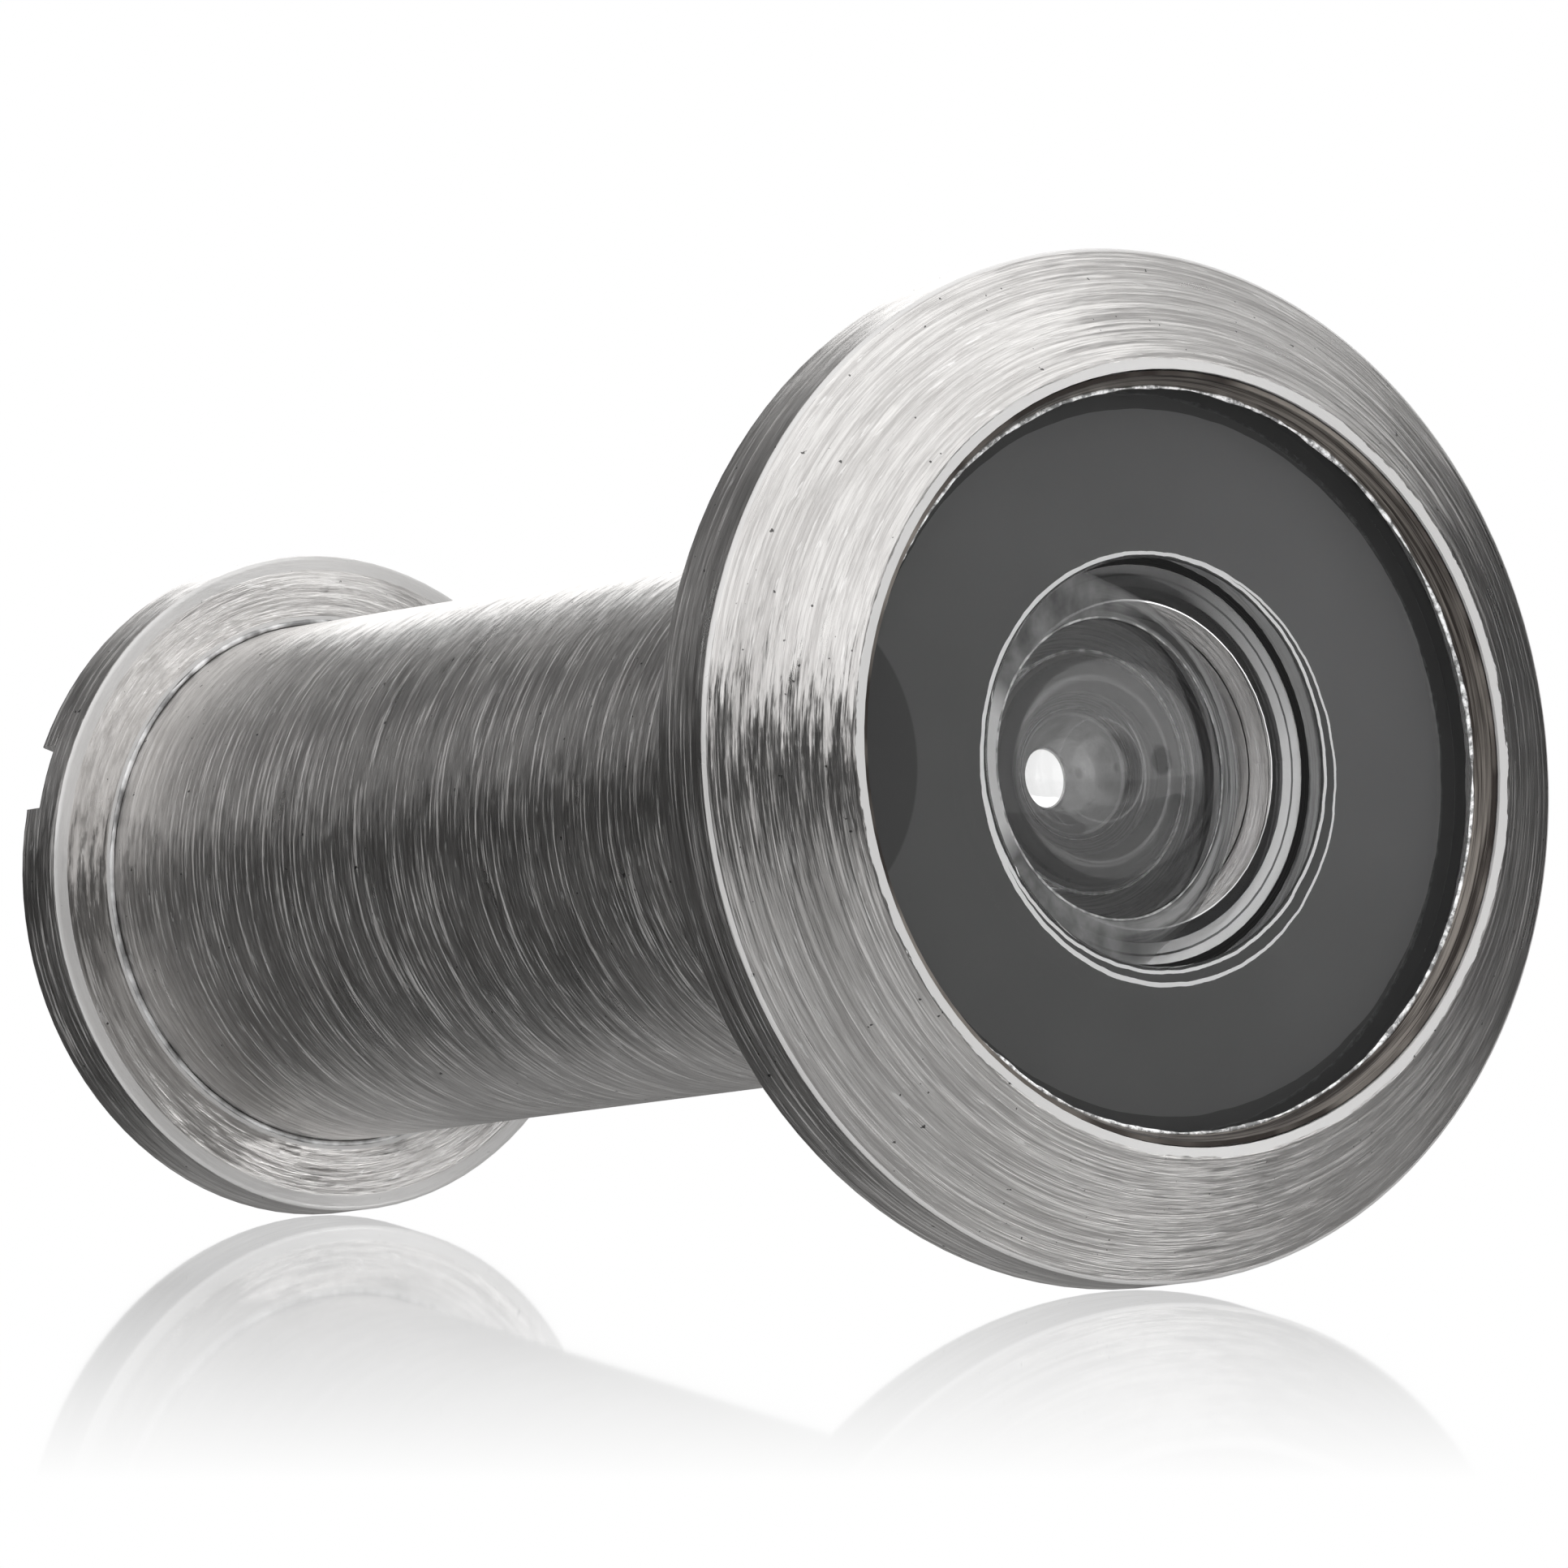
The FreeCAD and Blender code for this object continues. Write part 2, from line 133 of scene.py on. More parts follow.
class Nodes:
    """Short words for building a material's nodes."""

    def __init__(self, name, colour=(0.5, 0.5, 0.5), rough=0.5, metal=0.0):
        self.material = bpy.data.materials.new(name)
        self.material.use_nodes = True
        self.tree = self.material.node_tree
        self.shader = self.tree.nodes["Principled BSDF"]
        self.shader.inputs["Base Color"].default_value = (*colour, 1)
        self.shader.inputs["Roughness"].default_value = rough
        self.shader.inputs["Metallic"].default_value = metal

    def add(self, kind, **settings):
        node = self.tree.nodes.new(kind)
        for key, value in settings.items():
            setattr(node, key, value)
        return node

    def join(self, output, socket):
        self.tree.links.new(output, socket)

    def feed(self, socket, value):
        if isinstance(value, (int, float, tuple)):
            socket.default_value = value
        else:
            self.join(value, socket)

    def math(self, kind, first, second=0.0, third=0.0, clamp=False):
        node = self.add("ShaderNodeMath", operation=kind, use_clamp=clamp)
        for socket, value in zip(node.inputs, (first, second, third)):
            self.feed(socket, value)
        return node.outputs[0]

    def place(self):
        return self.add("ShaderNodeTexCoord").outputs["Object"]

    def around(self):
        """Radius in mm, place along the axis in mm, and the cosine and sine of the turn."""
        split = self.add("ShaderNodeSeparateXYZ")
        self.join(self.place(), split.inputs[0])
        across = self.math("MULTIPLY", split.outputs["X"], 1 / MM)
        along = self.math("MULTIPLY", split.outputs["Y"], 1 / MM)
        height = self.math("MULTIPLY", split.outputs["Z"], 1 / MM)
        squares = self.math("ADD", self.math("POWER", across, 2.0), self.math("POWER", height, 2.0))
        radius = self.math("SQRT", squares)
        cosine = self.math("DIVIDE", across, self.math("MAXIMUM", radius, 0.01))
        sine = self.math("DIVIDE", height, self.math("MAXIMUM", radius, 0.01))
        return radius, along, cosine, sine

    def vector(self, x, y, z):
        node = self.add("ShaderNodeCombineXYZ")
        for socket, value in zip(node.inputs, (x, y, z)):
            self.feed(socket, value)
        return node.outputs[0]

    def noise(self, vector, scale, detail=2.0, rough=0.5):
        node = self.add("ShaderNodeTexNoise")
        self.join(vector, node.inputs["Vector"])
        node.inputs["Scale"].default_value = scale
        node.inputs["Detail"].default_value = detail
        node.inputs["Roughness"].default_value = rough
        return node.outputs["Fac"]

    def span(self, value, low, high, to_low=0.0, to_high=1.0, smooth=False):
        """Stretch low..high to to_low..to_high, held at both ends."""
        node = self.add("ShaderNodeMapRange", clamp=True)
        if smooth:
            node.interpolation_type = "SMOOTHSTEP"
        for socket, number in zip(node.inputs[1:5], (low, high, to_low, to_high)):
            socket.default_value = number
        self.join(value, node.inputs[0])
        return node.outputs[0]

    def mix(self, factor, first, second):
        node = self.add("ShaderNodeMix", data_type="RGBA")
        self.feed(node.inputs[0], factor)
        self.feed(node.inputs[6], first)
        self.feed(node.inputs[7], second)
        return node.outputs[2]

    def scaled(self, vector, factor):
        node = self.add("ShaderNodeVectorMath", operation="SCALE")
        self.join(vector, node.inputs[0])
        self.feed(node.inputs["Scale"], factor)
        return node.outputs[0]

    def summed(self, first, second):
        node = self.add("ShaderNodeVectorMath", operation="ADD")
        self.join(first, node.inputs[0])
        self.join(second, node.inputs[1])
        return node.outputs[0]

    def bump(self, height, strength, distance, base=None):
        node = self.add("ShaderNodeBump")
        self.feed(node.inputs["Strength"], strength)
        node.inputs["Distance"].default_value = distance
        self.join(height, node.inputs["Height"])
        if base is not None:
            self.join(base, node.inputs["Normal"])
        return node.outputs[0]


def grey(level):
    return (level, level, level, 1)


# Levels of the mask's paint on its shaded and on its lit side; the difference is painted light.
PAINT_SHADED = 0.055
PAINT_LIT = 0.11


# ---------------------------------------------------------------- materials

def brushed_nickel(name, edge_place, dark_inside, lip_highlight_radius=0.0, ring_highlight_radius=0.0):
    """Satin nickel turned with fine marks round the axis and some loose scratches, with painted highlights
    on the lip, a ring and the outer edges, painted glints on the crests of the marks, and painted shade in
    the bore.
    """
    nodes = Nodes(name, metal=1.0)
    radius, along, cosine, sine = nodes.around()
    profile = nodes.math("ADD", radius, along)

    def marks(around, per_mm, slant, detail, rough=0.6):
        """Noise stretched round the axis: so many cycles to the radian and to the mm, on a slanted line."""
        line = nodes.math("ADD", profile, nodes.math("MULTIPLY", cosine, slant))
        cell = nodes.vector(nodes.math("MULTIPLY", cosine, around), nodes.math("MULTIPLY", sine, around),
                            nodes.math("MULTIPLY", line, per_mm))
        return nodes.noise(cell, 1.0, detail, rough)

    fine = marks(2.5, 8.0, 0.03, 3.0, 0.8)
    strokes = marks(7.0, 4.5, -0.12, 4.0, 0.75)
    patches = marks(2.0, 0.7, 0.5, 3.0)
    crossing = marks(9.0, 5.0, 2.2, 3.0)
    scratch = nodes.span(crossing, 0.655, 0.69)
    pits = nodes.span(nodes.noise(nodes.place(), 4200.0, 2.0), 0.735, 0.76)
    # Painted highlights: the polished lip, a ring round the barrel's end and the outer edges, drawn light
    # and mostly diffuse.
    nicked = nodes.math("ADD", radius, nodes.span(strokes, 0.35, 0.65, -0.05, 0.05))
    lip = nodes.math("MULTIPLY", nodes.math("LESS_THAN", nicked, lip_highlight_radius),
                     nodes.math("LESS_THAN", along, (LIP_PLACE + LIP_DEPTH) / MM))
    ring = nodes.math("MULTIPLY", nodes.math("COMPARE", radius, ring_highlight_radius, LINE_HALF),
                      nodes.math("LESS_THAN", along, (REAR_END - RING_BACK) / MM))
    ridge = nodes.math("MULTIPLY", nodes.math("COMPARE", along, edge_place, LINE_HALF),
                       nodes.math("GREATER_THAN", radius, EDGE_FROM_RADIUS))
    nickel_painted_highlight = nodes.math("MAXIMUM", nodes.math("MAXIMUM", lip, ring), nodes.math("MULTIPLY", ridge, 0.8))
    # Painted shade: the bore is drawn dark, dull and rough.
    bore = nodes.math("MULTIPLY", nodes.math("LESS_THAN", radius, dark_inside),
                      nodes.math("GREATER_THAN", along, MASK_PLACE / MM))

    colour = nodes.mix(nodes.span(fine, 0.40, 0.60), (0.55, 0.535, 0.525, 1), (0.79, 0.775, 0.76, 1))
    colour = nodes.mix(nodes.span(strokes, 0.48, 0.62, 0.0, 0.25), colour, (0.38, 0.365, 0.355, 1))
    colour = nodes.mix(nodes.span(patches, 0.45, 0.75, 0.0, 0.2), colour, (0.44, 0.425, 0.41, 1))
    colour = nodes.mix(nodes.math("MULTIPLY", scratch, 0.6), colour, (0.92, 0.91, 0.90, 1))
    colour = nodes.mix(nodes.math("MULTIPLY", pits, 0.85), colour, grey(0.03))
    colour = nodes.mix(nickel_painted_highlight, colour, (0.54, 0.535, 0.53, 1))
    colour = nodes.mix(bore, colour, grey(0.03))
    nodes.join(colour, nodes.shader.inputs["Base Color"])

    # Painted glints: the crests of the marks are drawn partly diffuse, so they show as fine light lines in
    # the dark.
    painted_glints = nodes.math("MAXIMUM", nodes.span(marks(1.8, 10.0, 0.05, 3.0, 0.8), 0.555, 0.62, 0.0, 0.31),
                        nodes.math("MULTIPLY", scratch, 0.08))
    painted_light_mix = nodes.math("MAXIMUM", painted_glints, nodes.math("MULTIPLY", nickel_painted_highlight, 0.85))
    nodes.join(nodes.math("SUBTRACT", 1.0, nodes.math("MAXIMUM", painted_light_mix, bore)),
               nodes.shader.inputs["Metallic"])

    rough = nodes.span(patches, 0.3, 0.7, 0.27, 0.33)
    nodes.join(nodes.math("MAXIMUM", rough, nodes.math("MULTIPLY", bore, 0.75)),
               nodes.shader.inputs["Roughness"])
    nodes.shader.inputs["Anisotropic"].default_value = 0.9
    nodes.shader.inputs["Anisotropic Rotation"].default_value = 0.25
    tangent = nodes.add("ShaderNodeTangent", direction_type="RADIAL", axis="Y").outputs[0]
    nodes.join(tangent, nodes.shader.inputs["Tangent"])

    swing = nodes.math("SUBTRACT", nodes.math("ADD", strokes, fine), 1.0)
    lean = nodes.scaled(tangent, nodes.math("MULTIPLY", swing, nodes.span(nickel_painted_highlight, 0, 1, 0.5, 0.05)))
    normal = nodes.summed(nodes.add("ShaderNodeNewGeometry").outputs["Normal"], lean)
    rings = nodes.bump(fine, nodes.span(nickel_painted_highlight, 0, 1, 1.0, 0.05), 0.03 * MM, normal)
    nodes.join(nodes.bump(crossing, 0.3, 0.03 * MM, rings), nodes.shader.inputs["Normal"])
    return nodes.material


def lens_glass():
    nodes = Nodes("lens_glass_clear", (1, 1, 1), 0.0)
    nodes.shader.inputs["Transmission Weight"].default_value = 1.0
    nodes.shader.inputs["IOR"].default_value = 1.52
    return nodes.material


def grained_plastic(name, colour, rough):
    nodes = Nodes(name, colour, rough)
    grain = nodes.noise(nodes.place(), 9000.0, 3.0)
    nodes.join(nodes.span(grain, 0.3, 0.7, rough - 0.06, rough + 0.06), nodes.shader.inputs["Roughness"])
    nodes.join(nodes.bump(grain, 0.2, 0.01 * MM), nodes.shader.inputs["Normal"])
    return nodes.material


def mask_with_painted_light():
    """Washer with dark grey paint, made lighter towards its upper right by painted light, with a painted
    dark reflection at its left, painted shade of the gap as black outside it, and painted highlights as
    bright lines round its hole.
    """
    nodes = Nodes("mask_paint_painted_light", (0.02, 0.02, 0.02), 0.6)
    radius, along, cosine, sine = nodes.around()
    grain = nodes.noise(nodes.vector(nodes.math("MULTIPLY", cosine, 9.0), nodes.math("MULTIPLY", sine, 9.0),
                                     radius), 1.0, 3.0)
    ragged = nodes.span(grain, 0.3, 0.7, -0.02, 0.02)
    place = nodes.math("ADD", radius, ragged)

    def distance_from(across, height):
        node = nodes.add("ShaderNodeVectorMath", operation="DISTANCE")
        nodes.join(nodes.vector(nodes.math("MULTIPLY", radius, cosine), 0.0,
                                nodes.math("MULTIPLY", radius, sine)), node.inputs[0])
        node.inputs[1].default_value = (across, 0.0, height)
        return node.outputs["Value"]

    askew = nodes.math("ADD", distance_from(*OUTER_LINE_ASIDE), ragged)
    cloud = nodes.noise(nodes.place(), 160.0, 2.0)
    # Painted light: the paint is lighter towards its upper right, with random cloudy tone on top.
    lit = nodes.math("ADD", nodes.math("MULTIPLY", sine, 0.5), nodes.math("MULTIPLY", cosine, 0.5))
    painted_light_and_tone = nodes.math("ADD", nodes.span(lit, -0.7, 0.7, 0.0, 0.75),
                       nodes.span(cloud, 0.35, 0.65, 0.0, 0.25))
    paint = nodes.mix(painted_light_and_tone, grey(PAINT_SHADED), grey(PAINT_LIT))
    # Painted dark reflection: a darker round patch at the left of the mask.
    painted_dark_reflection = nodes.span(distance_from(*DARK_REFLECTION_AT), DARK_REFLECTION_RADIUS, DARK_REFLECTION_RADIUS + 0.07, 1.0, 0.0)
    paint = nodes.mix(painted_dark_reflection, paint, grey(PAINT_SHADED * 0.35))
    # Painted shade of the gap round the paint: black outside it.
    paint = nodes.mix(nodes.math("GREATER_THAN", place, MASK_GAP_SHADE_FROM), paint, grey(0.006))
    # Painted reflection of the rounded edge of the hole: darker inside the outer line, and two bright
    # painted highlight lines, the outer one wider on the shaded side.
    paint = nodes.mix(nodes.math("LESS_THAN", askew, OUTER_LINE_RADIUS + 0.02), paint, grey(0.05))
    shaded = nodes.math("SUBTRACT", 0.0, lit)
    wide = nodes.math("ADD", OUTER_LINE_HALF, nodes.span(shaded, 0.0, 0.6, 0.0, 0.03))
    bright = nodes.math("MAXIMUM", nodes.math("COMPARE", askew, OUTER_LINE_RADIUS, wide),
                        nodes.math("COMPARE", place, INNER_LINE_RADIUS, INNER_LINE_HALF))
    paint = nodes.mix(bright, paint, grey(0.9))
    paint = nodes.mix(nodes.math("LESS_THAN", radius, MASK_HOLE), paint, grey(0.006))
    nodes.join(paint, nodes.shader.inputs["Base Color"])
    return nodes.material


def ringed(name, dark, light, per_mm, rough=0.4, metal=0.3, lit=None):
    """Turned surface inside the viewer: narrow dark and light rings, and painted light where lit says."""
    nodes = Nodes(name, dark[:3], rough, metal)
    radius, along, cosine, sine = nodes.around()
    profile = nodes.math("MULTIPLY", nodes.math("ADD", radius, along), per_mm)
    lines = nodes.noise(nodes.vector(nodes.math("MULTIPLY", cosine, 0.5), nodes.math("MULTIPLY", sine, 0.5),
                                     profile), 1.0, 3.0, 0.7)
    colour = nodes.mix(nodes.span(lines, 0.42, 0.6), dark, light)
    if lit:
        colour = lit(nodes, radius, along, cosine, sine, lines, colour)
    nodes.join(colour, nodes.shader.inputs["Base Color"])
    return nodes.material


def cell_mouth_painted_reflection(nodes, radius, along, cosine, sine, lines, colour):
    """Painted reflection: the cell's mouth is bright on its lower right, with one dark groove."""
    facing = nodes.math("SUBTRACT", nodes.math("MULTIPLY", cosine, 0.82),
                        nodes.math("MULTIPLY", sine, 0.57))
    mouth = nodes.math("MULTIPLY", nodes.math("LESS_THAN", along, CELL_MOUTH_TO),
                       nodes.math("LESS_THAN", radius, 5.4))
    mouth_reflection = nodes.mix(nodes.span(facing, -0.25, 0.75), grey(0.10), grey(0.97))
    groove = nodes.math("COMPARE", along, CELL_GROOVE_AT, CELL_GROOVE_HALF)
    mouth_reflection = nodes.mix(nodes.math("MULTIPLY", groove, 0.95), mouth_reflection, grey(0.01))
    return nodes.mix(mouth, colour, mouth_reflection)


def spacer_painted_light(nodes, radius, along, cosine, sine, lines, colour):
    """Painted light on the front spacer: a painted highlight at its left, and lighter grey with grain at
    its upper and lower left.
    """
    left = nodes.math("MULTIPLY", cosine, -1.0)
    grain = nodes.noise(nodes.place(), 1500.0, 3.0)
    painted_light_grey = nodes.mix(nodes.span(grain, 0.3, 0.7), grey(0.10), grey(0.30))
    colour = nodes.mix(nodes.span(left, -0.35, 0.25), colour, painted_light_grey)
    return nodes.mix(nodes.span(left, 0.86, 0.95), colour, grey(0.95))


def dull_ring():
    """Dark turned ring with narrow bright lines."""
    nodes = Nodes("dark_ring_dull", (0.20, 0.185, 0.17), 0.45, 0.8)
    radius, along, cosine, sine = nodes.around()
    lines = nodes.noise(nodes.vector(nodes.math("MULTIPLY", cosine, 1.5), nodes.math("MULTIPLY", sine, 1.5),
                                     nodes.math("MULTIPLY", along, 10.0)), 1.0, 3.0, 0.75)
    nodes.join(nodes.mix(nodes.span(lines, 0.4, 0.62), (0.05, 0.042, 0.038, 1), (0.34, 0.31, 0.28, 1)),
               nodes.shader.inputs["Base Color"])
    nodes.join(nodes.bump(lines, 0.6, 0.04 * MM), nodes.shader.inputs["Normal"])
    return nodes.material


def put_on(material, *names):
    for name in names:
        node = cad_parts[name]
        node.data.materials.clear()
        node.data.materials.append(material)


# ---------------------------------------------------------------- fine pieces

def turned_ring(name, middle_radius, middle_place, half_radius, half_place, body, material, unrest):
    """Thin round ring about the axis, in mm, with a little seeded unrest in its size round the turn."""
    around, across = 360, 8
    points = []
    for step in range(around):
        turn = 2 * math.pi * step / around
        spot = Vector((math.cos(turn), math.sin(turn), middle_radius))
        swell = 1 + unrest * (noise.noise(spot * 9) + 0.6 * noise.noise(spot * 31))
        drift = 0.3 * unrest * half_radius * noise.noise(spot * 5)
        for part in range(across):
            angle = 2 * math.pi * part / across
            radius = middle_radius + drift + half_radius * swell * math.cos(angle)
            place = middle_place + half_place * swell * math.sin(angle)
            points.append((radius * math.cos(turn) * MM, place * MM, radius * math.sin(turn) * MM))
    faces = []
    for step in range(around):
        here, there = step * across, (step + 1) % around * across
        for part in range(across):
            beside = (part + 1) % across
            faces.append((here + part, here + beside, there + beside, there + part))
    mesh = bpy.data.meshes.new(name)
    mesh.from_pydata(points, [], faces)
    mesh.shade_smooth()
    mesh.materials.append(material)
    ring = bpy.data.objects.new(name, mesh)
    bpy.context.scene.collection.objects.link(ring)
    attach(ring, body)
    return ring


def ground_white():
    """Finely ground glass edge, white with small chips."""
    nodes = Nodes("ground_white", (0.85, 0.86, 0.86), 0.5)
    chips = nodes.noise(nodes.place(), 2600.0, 2.0)
    nodes.join(nodes.mix(nodes.span(chips, 0.42, 0.6), grey(0.9), grey(0.35)),
               nodes.shader.inputs["Base Color"])
    return nodes.material


def bead_painted_highlight():
    """Painted highlight on the edge of the recess that the barrel's end sits in, broken up in small spots.
    """
    nodes = Nodes("edge_painted_highlight", (0.7, 0.69, 0.68), 0.4, 0.5)
    wear = nodes.noise(nodes.place(), 1800.0, 2.0)
    nodes.join(nodes.mix(nodes.span(wear, 0.35, 0.65), grey(0.25), grey(0.8)),
               nodes.shader.inputs["Base Color"])
    return nodes.material


def sealant():
    """Clear bead, drawn white as painted glitter, with grey in small spots."""
    nodes = Nodes("seal_painted_glitter", (0.8, 0.8, 0.78), 0.15)
    painted_glitter = nodes.noise(nodes.place(), 3800.0, 3.0, 0.7)
    nodes.join(nodes.mix(nodes.span(painted_glitter, 0.4, 0.58), grey(0.95), grey(0.2)),
               nodes.shader.inputs["Base Color"])
    return nodes.material


# ---------------------------------------------------------------- floor and light

def only_mirrored(thing):
    """Seen in the metal and glass, and nowhere else."""
    thing.visible_camera = False
    thing.visible_diffuse = False
    thing.visible_transmission = False
    thing.visible_shadow = False
    thing.visible_volume_scatter = False


# The floor's run away from the camera: (nearness to the camera, height), in metres. It steps down behind
# the viewer, where it mirrors nothing, to leave room for the rear unit when that is drawn right out.
FLOOR_RUN = ((3.0, 0.0), (-0.046, 0.0), (-0.049, -0.012), (-3.0, -0.012))
FLOOR_HALF_WIDTH = 3.0

# The floor's gloss reaches from behind the viewer, past its middle, to where it has faded out. Metres.
GLOSS_BACK = (-0.045, -0.036)
FADE_LENGTH = 0.066
FLOOR_GLOSS = 0.74
FLOOR_IOR = 1.3


def add_floor():
    """White floor that mirrors the viewer faintly, and less and less towards the camera."""
    near = Vector((math.sin(CAMERA_TURN), -math.cos(CAMERA_TURN), 0))
    side = Vector((math.cos(CAMERA_TURN), math.sin(CAMERA_TURN), 0)) * FLOOR_HALF_WIDTH
    points = []
    for nearness, height in FLOOR_RUN:
        middle = near * nearness + Vector((0, 0, height))
        points.extend((middle - side, middle + side))
    faces = [(2 * step, 2 * step + 1, 2 * step + 3, 2 * step + 2) for step in range(len(FLOOR_RUN) - 1)]
    mesh = bpy.data.meshes.new("floor")
    mesh.from_pydata(points, [], faces)
    floor = bpy.data.objects.new("floor", mesh)
    floor.matrix_world = axes_to_matrix(FLOOR_RIGHT, -FLOOR_FRONT, FLOOR_UP, FLOOR_POINT)
    bpy.context.scene.collection.objects.link(floor)
    nodes = Nodes("floor_white")
    nodes.tree.nodes.remove(nodes.shader)
    nearer = nodes.add("ShaderNodeVectorMath", operation="DOT_PRODUCT")
    nodes.join(nodes.place(), nearer.inputs[0])
    nearer.inputs[1].default_value = near
    faded = nodes.span(nearer.outputs["Value"], 0.0, FADE_LENGTH, FLOOR_GLOSS, 0.0)
    grazing = nodes.add("ShaderNodeFresnel")
    grazing.inputs["IOR"].default_value = FLOOR_IOR
    mirrored = nodes.math("MULTIPLY", faded, grazing.outputs[0])
    mirrored = nodes.math("MULTIPLY", mirrored, nodes.span(nearer.outputs["Value"], *GLOSS_BACK))
    white = nodes.add("ShaderNodeEmission")
    gloss = nodes.add("ShaderNodeBsdfGlossy")
    gloss.inputs["Color"].default_value = grey(1.0)
    gloss.inputs["Roughness"].default_value = 0.03
    both = nodes.add("ShaderNodeMixShader")
    nodes.join(mirrored, both.inputs[0])
    nodes.join(white.outputs[0], both.inputs[1])
    nodes.join(gloss.outputs[0], both.inputs[2])
    nodes.join(both.outputs[0], nodes.tree.nodes["Material Output"].inputs["Surface"])
    floor.data.materials.append(nodes.material)
    floor.visible_glossy = False


# Soft windows of light round the viewer, as the metal and the glass mirror them. Degrees in the floor's
# own frame: turn from the front glass towards +X, rise above the floor. (turn, half width, lowest rise,
# highest rise, softness, level) The far walls are there for the floor to mirror.
WINDOWS = {
    "front_box": (-28, 80, 17.7, 95, 2, 1.17),
    "ceiling": (0, 181, 55, 95, 8, 1.05),
    "right_box": (92, 32, 22, 60, 6, 0.55),
    "back_box": (142, 20, 9, 60, 3, 1.85),
    "table_front": (-28, 80, -95, -5.5, 2, 0.46),
    "table_right": (95, 34, -95, -16, 8, 0.25),
    "table_back": (150, 34, -95, -22, 8, 0.29),
    "far_wall": (145, 5, -2, 7, 0.5, 1.0),
    "far_wall_back": (180, 3.5, 6.5, 13, 0.5, 1.0),
    "far_wall_left": (-90, 3.5, -1, 6.5, 0.5, 1.0),
    "far_wall_front": (44, 3, 7, 13, 0.5, 1.0),
    "glass_card": (35, 4, 5, 13, 0.4, 0.3),
    "flat_above": (35, 6, 19, 50, 1, 2.5),
    "flat_below": (35, 6, -30, -3.5, 1, 3.6),
}
ROOM_LEVEL = 0.01
LIGHT_LEVEL = 1.6

# A dark flag in the world, in degrees: where its middle is, where it is full and where it has ended.
FLAG_LEVEL = 0.1
FLAG_TURN = 35
FLAG_RISE = 9
FLAG_FULL = 6
FLAG_EDGE = 9


def add_surround():
    """Shell round the studio: a dim room with the soft windows."""
    bpy.ops.mesh.primitive_uv_sphere_add(segments=96, ring_count=48, radius=3.0)
    shell = bpy.context.object
    shell.name = "surround"
    shell.matrix_world = axes_to_matrix(FLOOR_RIGHT, -FLOOR_FRONT, FLOOR_UP, Vector((0, 0, 0)))
    nodes = Nodes("surround_glow")
    nodes.tree.nodes.remove(nodes.shader)
    split = nodes.add("ShaderNodeSeparateXYZ")
    direction = nodes.add("ShaderNodeVectorMath", operation="NORMALIZE")
    nodes.join(nodes.place(), direction.inputs[0])
    nodes.join(direction.outputs[0], split.inputs[0])
    away = nodes.math("MULTIPLY", split.outputs["Y"], -1.0)
    turn = nodes.math("DEGREES", nodes.math("ARCTAN2", split.outputs["X"], away))
    rise = nodes.math("DEGREES", nodes.math("ARCSINE", split.outputs["Z"]))
    level = ROOM_LEVEL
    for at, half, low, high, soft, strength in WINDOWS.values():
        aside = nodes.math("WRAP", nodes.math("SUBTRACT", turn, float(at)), 180.0, -180.0)
        off = nodes.math("ABSOLUTE", aside)
        wide = nodes.span(off, half - soft, half + soft, 1.0, 0.0, smooth=True)
        above = nodes.span(rise, low - soft, low + soft, 0.0, 1.0, smooth=True)
        below = nodes.span(rise, high - soft, high + soft, 1.0, 0.0, smooth=True)
        lit = nodes.math("MULTIPLY", nodes.math("MULTIPLY", wide, above), below)
        level = nodes.math("MAXIMUM", level, nodes.math("MULTIPLY", lit, strength))
    glow = nodes.add("ShaderNodeEmission")
    nodes.join(level, glow.inputs["Strength"])
    nodes.join(glow.outputs[0], nodes.tree.nodes["Material Output"].inputs["Surface"])
    shell.data.materials.clear()
    shell.data.materials.append(nodes.material)
    only_mirrored(shell)


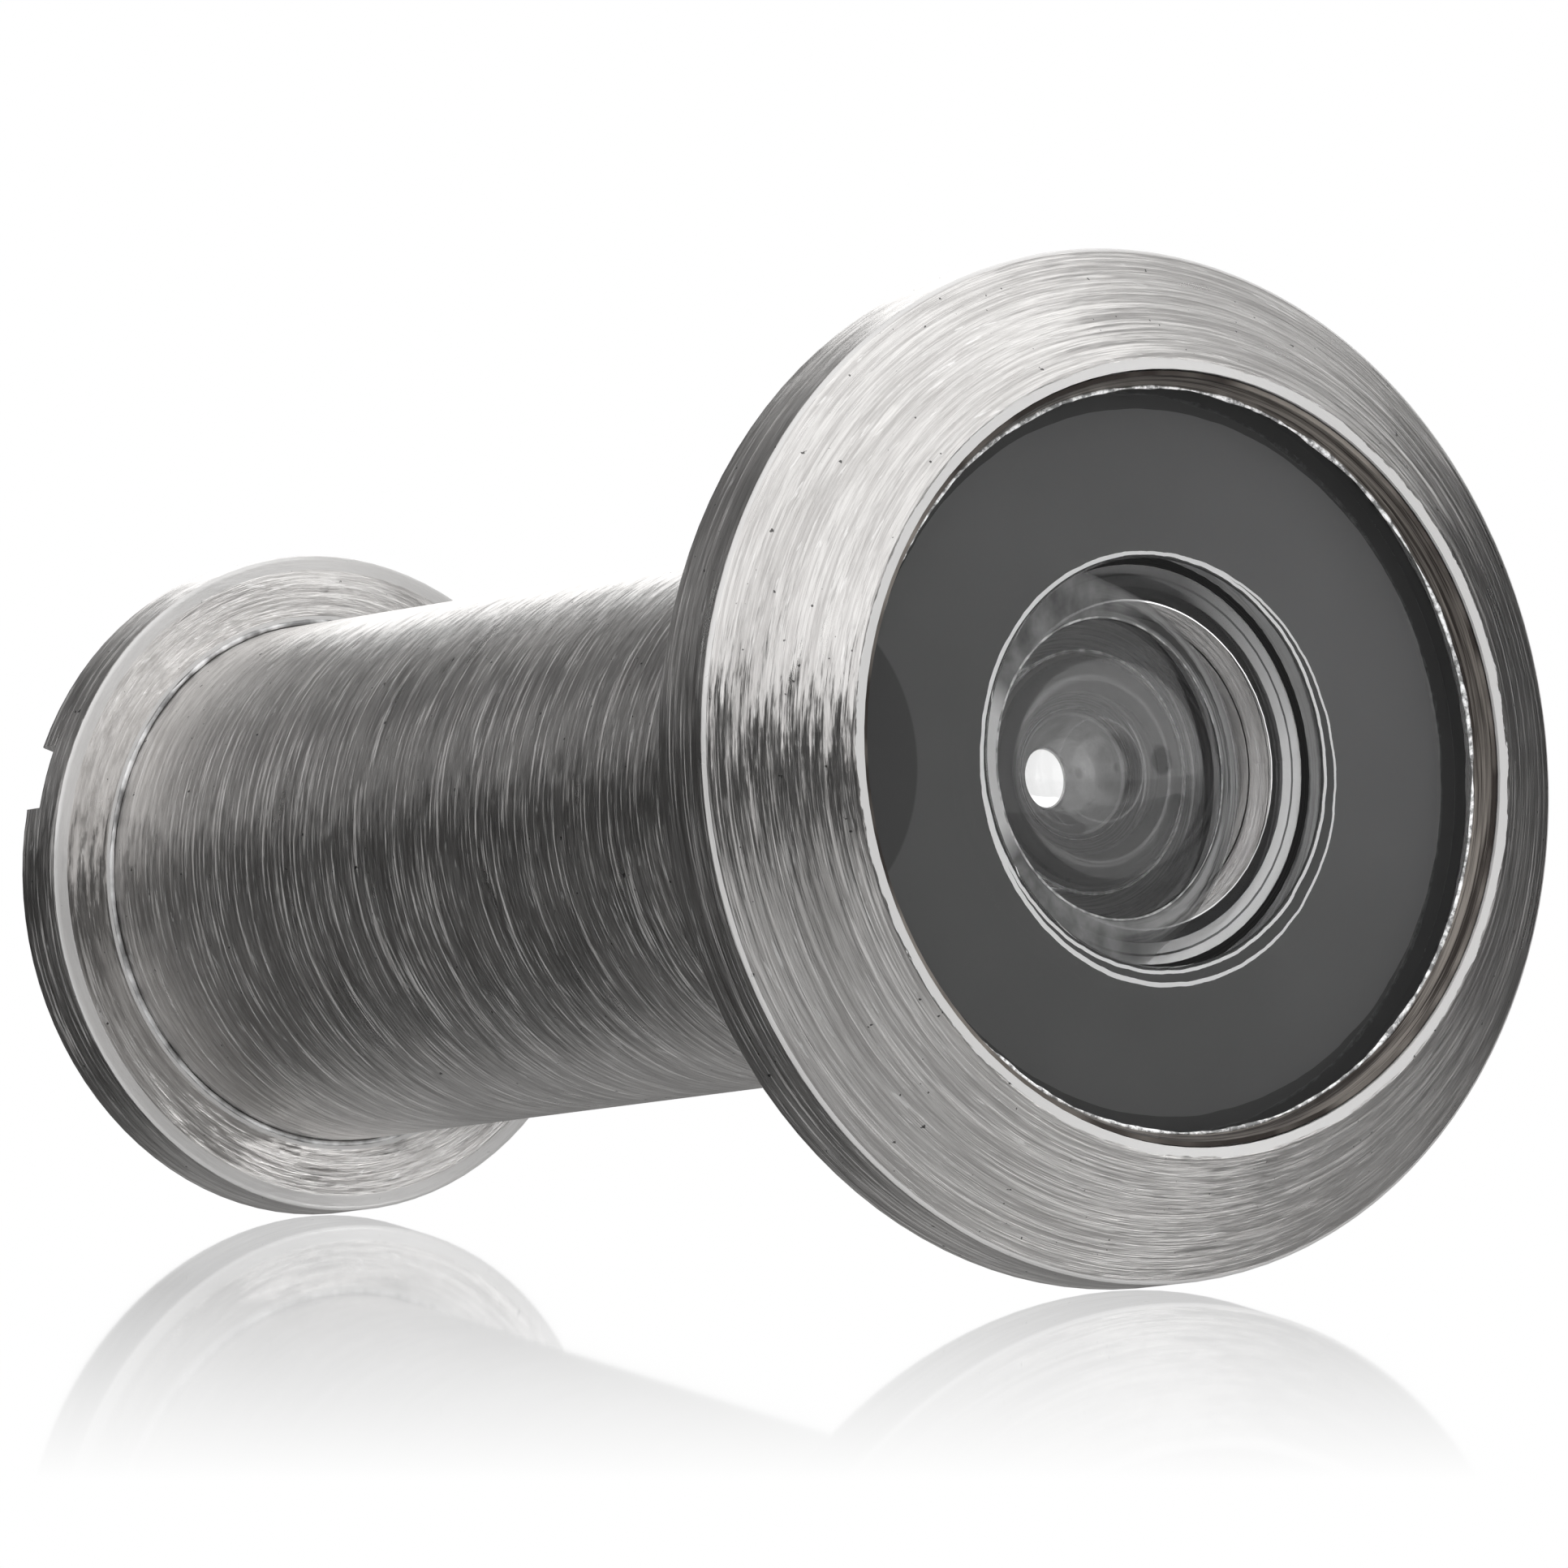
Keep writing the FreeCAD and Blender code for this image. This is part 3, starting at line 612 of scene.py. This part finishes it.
def add_world():
    """White all round, brighter as light than as backdrop, with a dark flag for the flat glass."""
    world = bpy.data.worlds.new("white")
    world.use_nodes = True
    tree = world.node_tree

    def spread(output, low, high, to_low, to_high):
        node = tree.nodes.new("ShaderNodeMapRange")
        for socket, number in zip(node.inputs[1:5], (low, high, to_low, to_high)):
            socket.default_value = number
        tree.links.new(output, node.inputs[0])
        return node

    beside = tree.nodes.new("ShaderNodeVectorMath")
    beside.operation = "DOT_PRODUCT"
    tree.links.new(tree.nodes.new("ShaderNodeTexCoord").outputs["Generated"], beside.inputs[0])
    beside.inputs[1].default_value = toward(math.radians(FLAG_TURN), math.radians(FLAG_RISE))
    flag = spread(beside.outputs["Value"], math.cos(math.radians(FLAG_EDGE)),
                  math.cos(math.radians(FLAG_FULL)), LIGHT_LEVEL, FLAG_LEVEL)
    seen = spread(tree.nodes.new("ShaderNodeLightPath").outputs["Is Camera Ray"], 0, 1, 0, 1.0)
    tree.links.new(flag.outputs[0], seen.inputs["To Min"])
    background = tree.nodes["Background"]
    background.inputs["Color"].default_value = grey(1.0)
    tree.links.new(seen.outputs[0], background.inputs["Strength"])
    bpy.context.scene.world = world
    bpy.context.scene.view_settings.view_transform = "Standard"


# ---------------------------------------------------------------- the scene

add_camera()
add_world()
add_floor()
add_surround()

put_on(brushed_nickel("satin_nickel_front", HEAD_EDGE, FRONT_BORE_RADIUS, lip_highlight_radius=LIP_RADIUS),
       "front_housing")
put_on(brushed_nickel("satin_nickel_rear", FLANGE_EDGE, REAR_BORE_RADIUS, ring_highlight_radius=SEAT_RING_RADIUS),
       "rear_housing")
put_on(lens_glass(), "objective_lens", "second_lens", "third_lens", "eyepiece_lens")
put_on(mask_with_painted_light(), "objective_mask")
put_on(ringed("spacer_front_rings", grey(0.01), grey(0.35), 9.0, lit=spacer_painted_light), "front_spacer")
put_on(ringed("spacer_rear_rings", grey(0.008), grey(0.17), 7.0), "rear_spacer")
put_on(ringed("cell_rings_painted_reflection", grey(0.015), grey(0.17), 5.0, lit=cell_mouth_painted_reflection), "lens_cell")
put_on(grained_plastic("eyepiece_ring_black", (0.015, 0.015, 0.015), 0.35), "eyepiece_ring")
put_on(grained_plastic("gasket_black", (0.02, 0.02, 0.02), 0.7), "eyepiece_gasket")
put_on(dull_ring(), "glass_retaining_ring")

# Radii and places in mm.
seal = turned_ring("seal_bead", 9.585, GLASS_PLACE / MM - 0.05, 0.05, 0.05, "front",
                   sealant(), unrest=0.9)
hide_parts("objective_seal")
turned_ring("flange_seat_bead", 7.08, 35.29, 0.07, 0.04, "rear", bead_painted_highlight(), unrest=0.3)
ground = ground_white()
for name, radius, place in (("ground_edge_front", 4.42, -0.99), ("ground_edge_second", 4.12, 2.47),
                            ("ground_edge_third", 4.34, 5.06)):
    turned_ring(name, radius, place, 0.03, 0.02, "front", ground, unrest=0.4)

scene = bpy.context.scene
scene.cycles.max_bounces = 24
scene.cycles.transmission_bounces = 20
scene.cycles.glossy_bounces = 8
